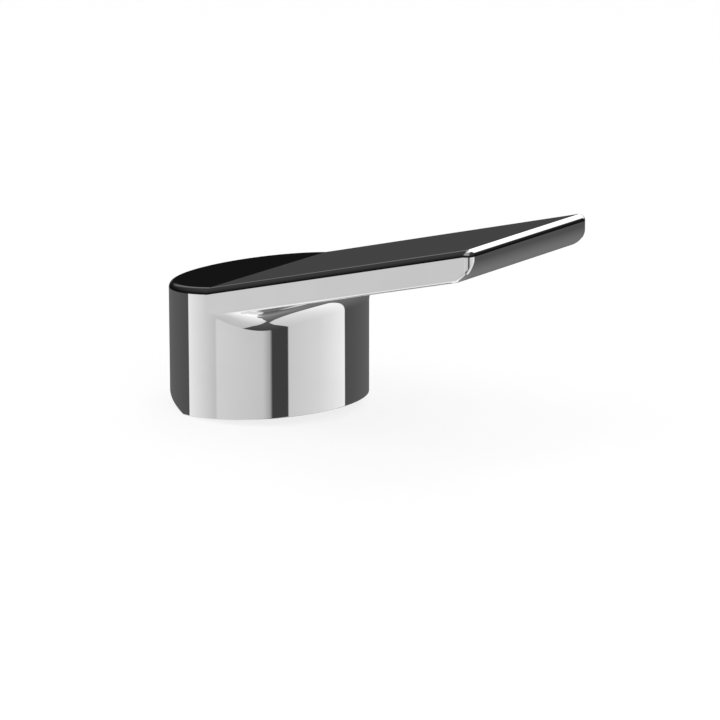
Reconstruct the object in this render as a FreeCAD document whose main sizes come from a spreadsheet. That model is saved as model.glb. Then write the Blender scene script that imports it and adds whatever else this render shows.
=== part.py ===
"""Lever handle for a single-lever mixer tap: one hollow casting, its grub screw and a cover plug.

Millimetres. X runs along the lever, Z is the hub's axis and points up, and the origin is the middle
of the stem socket's mouth.
"""
import FreeCAD
import Part
import math
import os

import Sketcher
from FreeCAD import Vector

SIZES = {
    "hub_radius": 23.0,
    "hub_height": 30.4,
    "lever_reach": 72.0,
    "lever_slope": 14.75,
    "lever_thickness": 6.7,
    "back_slope": 8.0,
    "rim_slope": 4.9,
    "relief_start": 8.4,
    "relief_slope": 17.5,
    "top_round": 1.45,
    "lower_round": 0.9,
    "tip_round": 5.6,
    "corner_round": 1.8,
    "cove_radius": 6.5,
    "cove_inset": 0.35,
    "skirt_wall": 2.6,
    "upper_wall": 3.4,
    "ceiling_thickness": 3.2,
    "socket_lift": 12.0,
    "socket_width": 8.0,
    "socket_depth": 11.0,
    "step_drop": 0.5,
    "boss_radius": 8.5,
    "web_width": 10.0,
    "web_drop": 4.6,
    "rib_thickness": 2.0,
    "rib_drop": 8.0,
    "screw_rise": 5.5,
    "screw_radius": 2.5,
    "screw_length": 8.0,
    "screw_clearance": 0.3,
    "key_width": 2.5,
    "key_depth": 3.0,
    "point_chamfer": 0.6,
    "plug_radius": 3.5,
    "plug_depth": 4.0,
    "plug_proud": 0.4,
    "margin": 8.0,
}

# Tolerance for finding edges, and the small overlaps that let the cove's solid join its neighbours
NEAR = 1e-3
BITE = 0.02
COVE_ROOT = 1.2
COVE_SHARE = 0.999
COVE_SECTIONS = 16
ALONG_LEVER = FreeCAD.Rotation(Vector(0, 1, 0), 90)

doc = FreeCAD.newDocument("tap_handle")
sheet = doc.addObject("Spreadsheet::Sheet", "Sizes")
for row, (name, value) in enumerate(SIZES.items(), start=1):
    sheet.set(f"A{row}", name)
    sheet.set(f"B{row}", str(value))
    sheet.setAlias(f"B{row}", name)
doc.recompute()

# Heights on the hub's axis, as expressions of the driving sizes
CREASE = "(Sizes.hub_height - Sizes.socket_lift)"
RIM = "(-Sizes.socket_lift)"
BACK = "(-Sizes.hub_radius - Sizes.margin)"
FRONT = "(Sizes.lever_reach + Sizes.margin)"
LOW = "(-Sizes.socket_lift - Sizes.margin - Sizes.hub_radius * tan(Sizes.rim_slope))"
UNDER_DROP = "(Sizes.lever_thickness / cos(Sizes.lever_slope))"
HIGH = f"({CREASE} + {FRONT} * tan(Sizes.lever_slope) + Sizes.margin)"


def size(expression):
    """Return the number that an expression of the sheet gives now."""
    value = sheet.evalExpression(expression)
    return float(getattr(value, "Value", value))


def bind(thing, **expressions):
    """Bind properties to expressions; a double underscore stands for a dot."""
    for name, expression in expressions.items():
        thing.setExpression(name.replace("__", "."), expression)


def origin_plane(body, role):
    """Return one of a body's own origin planes."""
    return next(plane for plane in body.Origin.OriginFeatures if plane.Role == role)


def new_sketch(body, name, role):
    """Start a sketch on an origin plane of its body."""
    sketch = body.newObject("Sketcher::SketchObject", name)
    sketch.AttachmentSupport = [(origin_plane(body, role), "")]
    sketch.MapMode = "FlatFace"
    return sketch


def pin_point(sketch, edge, end, across, up):
    """Hold one end of a sketch line at a place given by two expressions."""
    for kind, expression in (("DistanceX", across), ("DistanceY", up)):
        index = sketch.addConstraint(Sketcher.Constraint(kind, -1, 1, edge, end, size(expression)))
        sketch.setExpression(f"Constraints[{index}]", expression)


def draw_polygon(sketch, corners):
    """Draw a closed polygon whose corners are pairs of expressions."""
    places = [Vector(size(across), size(up), 0) for across, up in corners]
    count = len(places)
    for index in range(count):
        sketch.addGeometry(Part.LineSegment(places[index], places[(index + 1) % count]), False)
    for index in range(count):
        sketch.addConstraint(Sketcher.Constraint("Coincident", index, 2, (index + 1) % count, 1))
    for index, (across, up) in enumerate(corners):
        pin_point(sketch, index, 1, across, up)


def cut_across(body, sketch, name):
    """Cut a side-view sketch through the whole width of a body."""
    pocket = body.newObject("PartDesign::Pocket", name)
    pocket.Profile = sketch
    pocket.Type = "ThroughAll"
    pocket.Midplane = True
    doc.recompute()
    return pocket


def draw_lever_plan(sketch):
    """Draw the lever seen from above: a half circle at the back, straight sides and a rounded tip."""
    radius = size("Sizes.hub_radius")
    reach = size("Sizes.lever_reach")
    corner = size("Sizes.corner_round")
    flat = reach - corner
    half = radius - corner
    quarter = math.pi / 2
    axis = Vector(0, 0, 1)

    def arc(middle, bend, start, sweep):
        circle = Part.Circle(middle, axis, bend)
        return Part.ArcOfCircle(circle, start, start + sweep)

    pieces = [
        arc(Vector(0, 0, 0), radius, quarter, 2 * quarter),
        Part.LineSegment(Vector(0, -radius, 0), Vector(flat, -radius, 0)),
        arc(Vector(flat, -half, 0), corner, -quarter, quarter),
        Part.LineSegment(Vector(reach, -half, 0), Vector(reach, half, 0)),
        arc(Vector(flat, half, 0), corner, 0, quarter),
        Part.LineSegment(Vector(flat, radius, 0), Vector(0, radius, 0)),
    ]
    for piece in pieces:
        sketch.addGeometry(piece, False)
    back, near, near_corner, tip, far_corner, far = range(6)
    for first, second in ((back, near), (near, near_corner), (near_corner, tip),
                          (tip, far_corner), (far_corner, far), (far, back)):
        sketch.addConstraint(Sketcher.Constraint("Tangent", first, 2, second, 1))
    sketch.addConstraint(Sketcher.Constraint("Coincident", back, 3, -1, 1))
    sketch.addConstraint(Sketcher.Constraint("Horizontal", near))
    sketch.addConstraint(Sketcher.Constraint("Vertical", tip))
    for edge, expression in ((back, "Sizes.hub_radius"), (near_corner, "Sizes.corner_round"),
                             (far_corner, "Sizes.corner_round")):
        index = sketch.addConstraint(Sketcher.Constraint("Radius", edge, size(expression)))
        sketch.setExpression(f"Constraints[{index}]", expression)
    index = sketch.addConstraint(Sketcher.Constraint("DistanceX", -1, 1, tip, 1, reach))
    sketch.setExpression(f"Constraints[{index}]", "Sizes.lever_reach")


def draw_underside(sketch):
    """Draw what is cut away under the lever, with the rounding of the tip's lower edge."""
    rise = "tan(Sizes.lever_slope)"
    start_up = f"({CREASE} - {UNDER_DROP} + {BACK} * {rise})"
    bend_x = "(Sizes.lever_reach - Sizes.tip_round)"
    bend_z = f"({CREASE} - {UNDER_DROP} + {bend_x} * {rise} + Sizes.tip_round / cos(Sizes.lever_slope))"
    touch_x = f"({bend_x} + Sizes.tip_round * sin(Sizes.lever_slope))"
    touch_z = f"({bend_z} - Sizes.tip_round * cos(Sizes.lever_slope))"
    corners = [
        (BACK, LOW),
        (BACK, start_up),
        (touch_x, touch_z),
        ("Sizes.lever_reach", bend_z),
        (FRONT, bend_z),
        (FRONT, LOW),
    ]
    places = [Vector(size(across), size(up), 0) for across, up in corners]
    circle = Part.Circle(Vector(size(bend_x), size(bend_z), 0), Vector(0, 0, 1), size("Sizes.tip_round"))
    slope = math.radians(size("Sizes.lever_slope"))
    bend = 2
    for index in range(len(places)):
        follower = places[(index + 1) % len(places)]
        if index == bend:
            sketch.addGeometry(Part.ArcOfCircle(circle, slope - math.pi / 2, 0), False)
        else:
            sketch.addGeometry(Part.LineSegment(places[index], follower), False)
    for index in range(len(places)):
        sketch.addConstraint(Sketcher.Constraint("Coincident", index, 2, (index + 1) % len(places), 1))
    for index, (across, up) in enumerate(corners):
        pin_point(sketch, index, 1, across, up)
    index = sketch.addConstraint(Sketcher.Constraint("Radius", bend, size("Sizes.tip_round")))
    sketch.setExpression(f"Constraints[{index}]", "Sizes.tip_round")


def edges_where(feature, test):
    """Return the names of a feature's edges that pass a test at each of three points."""
    names = []
    for index, edge in enumerate(feature.Shape.Edges, start=1):
        first, last = edge.ParameterRange
        spots = [edge.valueAt(first + share * (last - first)) for share in (0.1, 0.5, 0.9)]
        if all(test(spot) for spot in spots):
            names.append(f"Edge{index}")
    return names


def top_height(across):
    """Return the height of the two top planes at a distance along the lever."""
    slope = "Sizes.lever_slope" if across > 0 else "Sizes.back_slope"
    return size(CREASE) + across * size(f"tan({slope})")


def under_height(across):
    """Return the height of the lever's underside at a distance along the lever."""
    return size(CREASE) - size(UNDER_DROP) + across * size("tan(Sizes.lever_slope)")


def round_edges(body, base, name, names, radius):
    """Round the named edges of the body's last feature."""
    fillet = body.newObject("PartDesign::Fillet", name)
    fillet.Base = (base, names)
    bind(fillet, Radius=radius)
    doc.recompute()
    return fillet


def lever_slab():
    """Build the lever and the hub's top as one rounded slab with two top planes."""
    body = doc.addObject("PartDesign::Body", "lever_slab")

    plan = new_sketch(body, "lever_plan", "XY_Plane")
    draw_lever_plan(plan)
    stock = body.newObject("PartDesign::Pad", "lever_stock")
    stock.Profile = plan
    bind(stock, Length=HIGH)
    doc.recompute()

    under = new_sketch(body, "underside", "XZ_Plane")
    draw_underside(under)
    cut_across(body, under, "underside_cut")

    top = new_sketch(body, "top_planes", "XZ_Plane")
    back_top = f"({CREASE} + {BACK} * tan(Sizes.back_slope))"
    front_top = f"({CREASE} + {FRONT} * tan(Sizes.lever_slope))"
    draw_polygon(top, [(BACK, back_top), ("0", CREASE), (FRONT, front_top), (FRONT, f"2 * {HIGH}"),
                       (BACK, f"2 * {HIGH}")])
    sharp = cut_across(body, top, "top_cut")

    def on_top(spot):
        return abs(spot.z - top_height(spot.x)) < NEAR and abs(spot.x) > NEAR

    rounded = round_edges(body, sharp, "top_rounding", edges_where(sharp, on_top), "Sizes.top_round")

    def on_lower_side(spot):
        beside = abs(abs(spot.y) - size("Sizes.hub_radius")) < NEAR
        return beside and abs(spot.z - under_height(spot.x)) < NEAR

    round_edges(body, rounded, "lower_rounding", edges_where(rounded, on_lower_side), "Sizes.lower_round")
    return body


def round_stock(name, radius, start, end):
    """Pad a circle about the hub's axis between two heights."""
    body = doc.addObject("PartDesign::Body", name)
    sketch = new_sketch(body, name + "_circle", "XY_Plane")
    bind(sketch, AttachmentOffset__Base__z=start)
    sketch.addGeometry(Part.Circle(Vector(0, 0, 0), Vector(0, 0, 1), size(radius)), False)
    sketch.addConstraint(Sketcher.Constraint("Coincident", 0, 3, -1, 1))
    index = sketch.addConstraint(Sketcher.Constraint("Radius", 0, size(radius)))
    sketch.setExpression(f"Constraints[{index}]", radius)
    pad = body.newObject("PartDesign::Pad", name + "_pad")
    pad.Profile = sketch
    bind(pad, Length=f"{end} - {start}")
    doc.recompute()
    return body


def hub_stock():
    """Build the hub's full cylinder, cut inside the slab, at the rim and at the back relief."""
    body = round_stock("hub_stock", "Sizes.hub_radius", LOW, HIGH)

    lid = new_sketch(body, "hub_top", "XZ_Plane")
    rise = "tan(Sizes.lever_slope)"
    middle = f"({CREASE} - {UNDER_DROP} / 2)"
    draw_polygon(lid, [(BACK, f"{middle} + {BACK} * {rise}"), (FRONT, f"{middle} + {FRONT} * {rise}"),
                       (FRONT, f"2 * {HIGH}"), (BACK, f"2 * {HIGH}")])
    cut_across(body, lid, "hub_top_cut")

    rim = new_sketch(body, "rim", "XZ_Plane")
    relief_x = "(-Sizes.relief_start)"
    relief_z = f"({RIM} + {relief_x} * tan(Sizes.rim_slope))"
    draw_polygon(rim, [(BACK, f"2 * {LOW}"),
                       (BACK, f"{relief_z} + ({relief_x} - {BACK}) * tan(Sizes.relief_slope)"),
                       (relief_x, relief_z),
                       (FRONT, f"{RIM} + {FRONT} * tan(Sizes.rim_slope)"),
                       (FRONT, f"2 * {LOW}")])
    cut_across(body, rim, "rim_cut")
    return body


def cove_section(angle):
    """Return the closed outline of the cove in one upright plane through the hub's axis.

    The hollow curve leaves the hub's wall and ends on the lever's underside, or on its lower side
    edge where the lever overhangs the hub by less than the cove's radius.
    """
    bend = size("Sizes.cove_radius")
    wall = size("Sizes.hub_radius")
    hold = (wall - size("Sizes.cove_inset")) / abs(math.sin(angle)) if angle else math.inf
    tilt = math.atan(size("tan(Sizes.lever_slope)") * math.cos(angle))
    middle = wall + bend - BITE
    touch = middle - bend * math.sin(tilt)
    if hold < touch:
        end_r = hold
        end_z = under_height(hold * math.cos(angle)) + size("Sizes.cove_inset")
        middle_z = end_z - math.sqrt(bend ** 2 - (middle - hold) ** 2)
    else:
        middle_z = under_height(middle * math.cos(angle)) + BITE - bend / math.cos(tilt)
        end_r = touch
        end_z = middle_z + bend * math.cos(tilt)
    turn_end = math.atan2(end_z - middle_z, end_r - middle)
    turn_half = (math.pi + turn_end) / 2
    inner = wall - COVE_ROOT

    def place(radius, height):
        return Vector(radius * math.cos(angle), radius * math.sin(angle), height)

    foot = place(middle - bend, middle_z)
    half = place(middle + bend * math.cos(turn_half), middle_z + bend * math.sin(turn_half))
    head = place(end_r, end_z)
    roof = place(end_r, end_z + COVE_ROOT)
    root = place(inner, end_z + COVE_ROOT)
    heel = place(inner, middle_z)
    curve = Part.Arc(foot, half, head).toShape()
    lines = [Part.makeLine(*pair) for pair in ((head, roof), (roof, root), (root, heel), (heel, foot))]
    return Part.Wire([curve] + lines)


def cove():
    """Build the hollow rounding between the hub's wall and the lever above it."""
    widest = math.asin(1 - size("Sizes.cove_inset / Sizes.hub_radius")) * COVE_SHARE
    half_count = COVE_SECTIONS // 2
    angles = [widest * math.sin(math.pi / 2 * step / half_count)
              for step in range(-half_count, half_count + 1)]
    feature = doc.addObject("Part::Feature", "cove")
    feature.Shape = Part.makeLoft([cove_section(angle) for angle in angles], True, False)
    return feature


def cylinder(name, radius, height, direction="up", **places):
    """Add a cylinder along Z or along X, with its sizes and place bound to expressions."""
    thing = doc.addObject("Part::Cylinder", name)
    if direction == "along":
        thing.Placement.Rotation = ALONG_LEVER
    bind(thing, Radius=radius, Height=height)
    bind(thing, **{f"Placement__Base__{axis}": place for axis, place in places.items()})
    return thing


def box(name, lengths, corner):
    """Add a box from its three lengths and its lowest corner, all expressions."""
    thing = doc.addObject("Part::Box", name)
    bind(thing, Length=lengths[0], Width=lengths[1], Height=lengths[2])
    bind(thing, Placement__Base__x=corner[0], Placement__Base__y=corner[1], Placement__Base__z=corner[2])
    return thing


def joined(name, things):
    """Fuse several solids into one."""
    fuse = doc.addObject("Part::MultiFuse", name)
    fuse.Shapes = things
    return fuse


def reduced(name, base, tool):
    """Cut one solid from another."""
    cut = doc.addObject("Part::Cut", name)
    cut.Base = base
    cut.Tool = tool
    return cut


def shared(name, first, second):
    """Keep what two solids have in common."""
    common = doc.addObject("Part::Common", name)
    common.Base = first
    common.Tool = second
    return common


def upper_core():
    """Build the hollow above the skirt, around the boss, the screw's web and the ribs."""
    body = round_stock("upper_hollow", "Sizes.hub_radius - Sizes.upper_wall", "(-2 * Sizes.step_drop)", HIGH)
    roof = new_sketch(body, "ceiling", "XZ_Plane")
    ceiling = f"({CREASE} - Sizes.ceiling_thickness / cos(Sizes.back_slope))"
    draw_polygon(roof, [(BACK, f"{ceiling} + {BACK} * tan(Sizes.back_slope)"),
                        (FRONT, f"{ceiling} + {FRONT} * tan(Sizes.back_slope)"),
                        (FRONT, f"2 * {HIGH}"), (BACK, f"2 * {HIGH}")])
    cut_across(body, roof, "ceiling_cut")
    rib_low = f"({CREASE} - Sizes.ceiling_thickness - Sizes.rib_drop)"
    web_low = "(Sizes.screw_rise - Sizes.web_drop)"
    half_rib = "(-Sizes.rib_thickness / 2)"
    kept = joined("inner_metal", [
        cylinder("boss", "Sizes.boss_radius", HIGH),
        box("screw_web", ("Sizes.hub_radius", "Sizes.web_width", f"{HIGH} - {web_low}"),
            ("-Sizes.hub_radius", "-Sizes.web_width / 2", web_low)),
        box("cross_rib", ("Sizes.rib_thickness", "2 * Sizes.hub_radius", f"{HIGH} - {rib_low}"),
            (half_rib, "-Sizes.hub_radius", rib_low)),
        box("front_rib", ("Sizes.hub_radius", "Sizes.rib_thickness", f"{HIGH} - {rib_low}"),
            ("0", half_rib, rib_low)),
    ])
    return reduced("upper_core", body, kept)


def handle_body():
    """Build the casting: the outer form, hollowed, with its stem socket and screw hole."""
    outer = joined("outer_form", [lever_slab(), hub_stock(), cove()])
    depth = "Sizes.hub_radius + Sizes.margin"
    hollow = joined("hollow", [
        round_stock("skirt_hollow", "Sizes.hub_radius - Sizes.skirt_wall", LOW, "(-Sizes.step_drop)"),
        upper_core(),
        box("stem_socket", ("Sizes.socket_width", "Sizes.socket_width", "Sizes.socket_depth + Sizes.step_drop"),
            ("-Sizes.socket_width / 2", "-Sizes.socket_width / 2", "-Sizes.step_drop")),
        cylinder("screw_hole", "Sizes.screw_radius", depth, "along", x=f"-({depth})", z="Sizes.screw_rise"),
        cylinder("plug_hole", "Sizes.plug_radius", "Sizes.margin + Sizes.plug_depth", "along",
                 x=f"-({depth})", z="Sizes.screw_rise"),
    ])
    return reduced("handle_body", outer, hollow)


def grub_screw():
    """Build the set screw: a plain shank with a chamfered point and a six-sided key socket."""
    tip = "(-Sizes.socket_width / 2 - Sizes.screw_clearance)"
    shank = cylinder("screw_shank", "Sizes.screw_radius", "Sizes.screw_length - Sizes.point_chamfer", "along",
                     x=f"{tip} - Sizes.screw_length", z="Sizes.screw_rise")
    point = doc.addObject("Part::Cone", "screw_point")
    point.Placement.Rotation = ALONG_LEVER
    bind(point, Radius1="Sizes.screw_radius", Radius2="Sizes.screw_radius - Sizes.point_chamfer",
         Height="Sizes.point_chamfer", Placement__Base__x=f"{tip} - Sizes.point_chamfer",
         Placement__Base__z="Sizes.screw_rise")
    key = doc.addObject("Part::Prism", "key_socket")
    key.Polygon = 6
    key.Placement.Rotation = ALONG_LEVER
    bind(key, Circumradius="Sizes.key_width / sqrt(3)", Height="Sizes.key_depth",
         Placement__Base__x=f"{tip} - Sizes.screw_length", Placement__Base__z="Sizes.screw_rise")
    return reduced("grub_screw", joined("screw_solid", [shank, point]), key)


def cover_plug():
    """Build the plug that closes the screw hole, its outer face just proud of the hub's wall."""
    depth = "Sizes.margin + Sizes.plug_depth"
    stub = cylinder("plug_stub", "Sizes.plug_radius", depth, "along", x="-Sizes.hub_radius - Sizes.margin",
                    z="Sizes.screw_rise")
    wall = round_stock("plug_face", "Sizes.hub_radius + Sizes.plug_proud", "(-Sizes.margin)", HIGH)
    return shared("cover_plug", stub, wall)


def export(nodes):
    """Check every object and write each sub-part to its own file."""
    doc.recompute()
    failed = [thing.Name for thing in doc.Objects if {"Invalid", "Error"} & set(thing.State)]
    if failed:
        raise RuntimeError(f"not built: {failed}")
    for node in nodes:
        if node.Shape.isNull() or not node.Shape.isValid() or len(node.Shape.Solids) != 1:
            raise RuntimeError(f"{node.Label} is not one valid solid")
    os.makedirs("parts", exist_ok=True)
    for node in nodes:
        node.Shape.exportStep(f"parts/{node.Label}.step")
        print(node.Label, "volume", round(node.Shape.Volume, 1), "mm3")


export([handle_body(), grub_screw(), cover_plug()])
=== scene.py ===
"""Chrome lever handle of a single-lever mixer tap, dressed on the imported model's own frame.

Shapes are worked out in millimetres and become metres when a mesh is made. X runs along the lever to
its tip, Z is the hub's axis and points up, and the origin is the middle of the stem socket's mouth.
"""

import logging
import math
from dataclasses import dataclass, field
from enum import Enum, IntEnum
from typing import Any

import bpy
import numpy as np
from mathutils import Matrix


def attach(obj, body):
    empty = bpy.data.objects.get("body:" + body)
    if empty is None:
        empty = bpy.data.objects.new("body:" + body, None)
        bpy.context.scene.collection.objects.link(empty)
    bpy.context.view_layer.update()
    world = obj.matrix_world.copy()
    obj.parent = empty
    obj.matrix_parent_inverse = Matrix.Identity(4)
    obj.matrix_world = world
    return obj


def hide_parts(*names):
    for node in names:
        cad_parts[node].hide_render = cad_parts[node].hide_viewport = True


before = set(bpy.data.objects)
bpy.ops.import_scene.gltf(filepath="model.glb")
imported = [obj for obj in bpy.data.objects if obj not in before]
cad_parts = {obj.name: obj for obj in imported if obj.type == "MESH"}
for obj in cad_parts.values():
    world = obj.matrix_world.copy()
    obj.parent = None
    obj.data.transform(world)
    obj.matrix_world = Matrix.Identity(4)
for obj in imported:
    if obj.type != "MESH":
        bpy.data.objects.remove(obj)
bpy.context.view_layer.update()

Array = np.ndarray
Point = tuple[float, float, float]
Colour = tuple[float, float, float, float]

MM = 0.001
WELD = 1e-4
WELD_SHIFT = 0.314
SAME_ANGLE = 1e-6
NEAR = 1e-9
CORNERS = 4
QUARTER = math.pi / 2
FULL_TURN = 2 * math.pi
DOWN = np.array((0.0, 0.0, -1.0))
log = logging.getLogger("tap_handle")


def unit(vectors: Array) -> Array:
    """Return vectors scaled to length one along the last axis."""
    return vectors / np.linalg.norm(vectors, axis=-1, keepdims=True)


def columns(*parts: Any) -> Array:
    """Stack x, y and z, each a number or an array, as vectors along a new last axis."""
    return np.stack(np.broadcast_arrays(*[np.asarray(part, float) for part in parts]), axis=-1)


def repeated(point: Any, row: Array) -> Array:
    """Return one point as often as a row has points."""
    return np.zeros_like(row) + np.array(point)


def ramp(start: Array, end: Array, steps: int) -> Array:
    """Return rows of points carried straight from one curve to another: start + t (end - start)."""
    share = np.linspace(0.0, 1.0, steps + 1)[:, None, None]
    return start + share * (end - start)


def sweep(first: Array, last: Array, steps: int) -> Array:
    """Turn unit vectors into others along the great circles between them.

    Row t is (sin((1 - t) g) first + sin(t g) last) / sin g, with g the angle between the two.

    Args:
        first: Unit vectors of the first row.
        last: Unit vectors of the last row.
        steps: Number of intervals between the two rows.

    Returns:
        Rows of unit vectors, one more than the steps.
    """
    first, last = np.broadcast_arrays(first, last)
    angle = np.arccos(np.clip(np.sum(first * last, axis=-1), -1.0, 1.0))[None, :, None]
    share = np.linspace(0.0, 1.0, steps + 1)[:, None, None]
    same = angle < SAME_ANGLE
    whole = np.where(same, 1.0, np.sin(angle))
    turned = (np.sin((1.0 - share) * angle) * first + np.sin(share * angle) * last) / whole
    return np.where(same, first, unit(turned + same))


class Coat(IntEnum):
    """Which of a piece's finishes a face takes, by its slot."""

    OUTER = 0
    INNER = 1


@dataclass
class Patch:
    """A grid of points, rows by columns, with the outward direction at each and a finish."""

    points: Array
    facing: Array
    coat: Coat


@dataclass
class Skin:
    """Gathers patches and welds them into one mesh that keeps each patch's own facing."""

    patches: list[Patch] = field(default_factory=list)

    def add(self, points: Array, facing: Array, coat: Coat = Coat.OUTER) -> Array:
        """Add one patch, its facing spread over its points, and return the points for the next."""
        self.patches.append(Patch(points, np.broadcast_to(facing, points.shape), coat))
        return points

    def corners(self) -> tuple[Array, Array, Array, Array]:
        """Number the points of all patches and turn their faces outwards.

        Returns:
            All points, their facings, the four-cornered faces and each face's finish.
        """
        points = np.concatenate([patch.points.reshape(-1, 3) for patch in self.patches])
        facing = np.concatenate([patch.facing.reshape(-1, 3) for patch in self.patches])
        faces, coats, start = [], [], 0
        for patch in self.patches:
            rows, cols = patch.points.shape[:2]
            index = np.arange(rows * cols).reshape(rows, cols) + start
            around = [index[:-1, :-1], index[:-1, 1:], index[1:, 1:], index[1:, :-1]]
            quads = np.stack(around, axis=-1).reshape(-1, 4)
            across = points[quads[:, 2]] - points[quads[:, 0]]
            along = points[quads[:, 3]] - points[quads[:, 1]]
            if np.sum(np.cross(across, along) * facing[quads].sum(axis=1)) < 0:
                quads = quads[:, ::-1]
            faces.append(quads)
            coats.append(np.full(len(quads), int(patch.coat)))
            start += rows * cols
        return points, facing, np.concatenate(faces), np.concatenate(coats)

    def build(self, name: str, sharp: float | None = None) -> bpy.types.Object:
        """Weld the patches, drop faces that have shrunk to a line and make the object.

        Args:
            name: Name of the new object.
            sharp: Angle in degrees past which an edge stays hard; without it the facings are kept.

        Returns:
            The object, at the origin.
        """
        points, facing, quads, coats = self.corners()
        keys = np.round(points / WELD + WELD_SHIFT).astype(np.int64)
        first, place = np.unique(keys, axis=0, return_index=True, return_inverse=True)[1:]
        welded = place.reshape(-1)[quads]
        repeat = welded == np.roll(welded, 1, axis=1)
        folded = (welded[:, 0] == welded[:, 2]) | (welded[:, 1] == welded[:, 3])
        whole = ~repeat.any(axis=1) & ~folded
        thin = (repeat.sum(axis=1) == 1) & ~folded
        kept = ~repeat[thin]
        threes = welded[thin][kept].reshape(-1, 3)
        loops = np.concatenate([facing[quads[whole]].reshape(-1, 3), facing[quads[thin][kept]]])

        mesh = bpy.data.meshes.new(name)
        faces = welded[whole].tolist() + threes.tolist()
        mesh.from_pydata((points[first] * MM).tolist(), [], faces, False)
        mesh.polygons.foreach_set("material_index", np.concatenate([coats[whole], coats[thin]]))
        if sharp is None:
            mesh.normals_split_custom_set(unit(loops).tolist())
        else:
            mesh.set_sharp_from_angle(angle=math.radians(sharp))
        thing = bpy.data.objects.new(name, mesh)
        bpy.context.scene.collection.objects.link(thing)
        return thing


@dataclass(frozen=True)
class Columns:
    """The upright cuts through the lever: outline points, outward directions and hub angles."""

    outline: Array
    away: Array
    turn: Array


@dataclass
class HandleBody:
    """The plated casting: a round hub whose flat top runs out into a wide, rising lever."""

    hub_radius: float = 23.0
    crease: float = 18.4
    reach: float = 72.0
    lever_slope: float = math.radians(14.75)
    lever_thickness: float = 6.7
    back_slope: float = math.radians(8.0)
    rim: float = -12.0
    rim_slope: float = math.radians(4.9)
    relief_start: float = 8.4
    relief_slope: float = math.radians(17.5)
    top_round: float = 1.45
    lower_round: float = 0.9
    tip_round: float = 5.6
    corner_round: float = 1.8
    cove_radius: float = 6.5
    rim_ease: float = 0.18
    skirt_wall: float = 2.6
    upper_wall: float = 3.4
    ceiling_thickness: float = 3.2
    ceiling_round: float = 1.2
    step: float = -0.5
    slide_reach: float = 30.0

    # Points along the outline
    HUB_CUTS = 41
    SIDE_CUTS = 27
    CORNER_CUTS = 19
    TIP_CUTS = 31
    BACK_CUTS = 13
    RELIEF_CUTS = 81

    # Steps down each surface
    FAN_STEPS = 10
    TOP_STEPS = 18
    SIDE_STEPS = 4
    LOWER_STEPS = 14
    CURL_STEPS = 12
    UNDER_STEPS = 8
    COVE_STEPS = 32
    WALL_STEPS = 8
    EASE_STEPS = 4
    LIP_STEPS = 2
    HOLLOW_STEPS = 6

    def under(self, x: Any) -> Any:
        """Return the height of the lever's flat underside at x."""
        drop = self.lever_thickness / math.cos(self.lever_slope)
        return self.crease - drop + x * math.tan(self.lever_slope)

    def ceiling(self, x: Any) -> Any:
        """Return the height of the hollow's ceiling at x."""
        drop = self.ceiling_thickness / math.cos(self.back_slope)
        return self.crease - drop + x * math.tan(self.back_slope)

    def rim_height(self, x: Array) -> Array:
        """Find the height of the hub's rim, which turns up at the back.

        Args:
            x: Places along the lever's direction.

        Returns:
            The height at each place.
        """
        start = -self.relief_start
        plain = self.rim + x * math.tan(self.rim_slope)
        turned = self.rim + start * math.tan(self.rim_slope) + (start - x) * math.tan(self.relief_slope)
        return np.where(x < start, turned, plain)

    def ball(self, turn: Array) -> dict[str, Array]:
        """Roll a ball of the cove's radius along the hub's wall, up against the lever.

        The ball's middle stays one cove radius off the wall. It touches the flat underside, or the
        rounding of the lever's lower edge where the lever overhangs the hub by less than the ball.

        Args:
            turn: Angles about the hub's axis.

        Returns:
            The ball's middle, the direction from it to the lever, and the middle of the rounding.
        """
        sine, cosine = math.sin(self.lever_slope), math.cos(self.lever_slope)
        out = self.hub_radius + self.cove_radius
        joint = self.cove_radius + self.lower_round
        over = np.clip(out * np.abs(np.sin(turn)) - self.hub_radius + self.lower_round, 0.0, joint)
        rise = np.sqrt(joint ** 2 - over ** 2)
        side = np.sign(np.sin(turn))
        axis_x = out * np.cos(turn) - rise * sine
        axis_z = self.under(axis_x) + self.lower_round / cosine
        return {
            "middle": columns(out * np.cos(turn), out * np.sin(turn), axis_z - rise * cosine),
            "touch": columns(-sine * rise, -side * over, cosine * rise) / joint,
            "edge": columns(axis_x, side * (self.hub_radius - self.lower_round), axis_z),
        }

    def held_turn(self) -> float:
        """Return the hub angle up to which the cove's ball touches the flat underside."""
        return math.asin((self.hub_radius - self.lower_round) / (self.hub_radius + self.cove_radius))

    def front_columns(self) -> Columns:
        """Lay the lever's upright cuts from one side of the hub round the tip to the other.

        Beside the hub a cut stands where the cove's ball touches the edge. Beyond that the cuts are
        spaced along the straight sides, the rounded corners and the tip.

        Returns:
            The cuts in order, from y below zero to y above.
        """
        wide, bend = self.hub_radius, self.corner_round
        held = self.held_turn()
        beside = np.linspace(-QUARTER, -held, self.HUB_CUTS)
        edge_x = self.ball(beside)["edge"][:, 0]
        flat, half = self.reach - bend, wide - bend
        sine = np.sin(np.linspace(0.0, QUARTER, self.CORNER_CUTS))
        cosine = np.cos(np.linspace(0.0, QUARTER, self.CORNER_CUTS))
        near = np.concatenate([
            columns(edge_x, -wide, 0.0, -1.0)[:-1],
            columns(np.linspace(edge_x[-1], flat, self.SIDE_CUTS), -wide, 0.0, -1.0)[:-1],
            columns(flat + bend * sine, -half - bend * cosine, sine, -cosine)[:-1],
        ])
        tip = columns(self.reach, np.linspace(-half, half, self.TIP_CUTS), 1.0, 0.0)
        cuts = np.concatenate([near, tip, near[::-1] * (1.0, -1.0, 1.0, -1.0)])
        free = np.linspace(-held, held, len(cuts) - 2 * (len(beside) - 1))
        turn = np.concatenate([beside[:-1], free, -beside[-2::-1]])
        return Columns(cuts[:, :2], cuts[:, 2:], turn)

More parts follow.
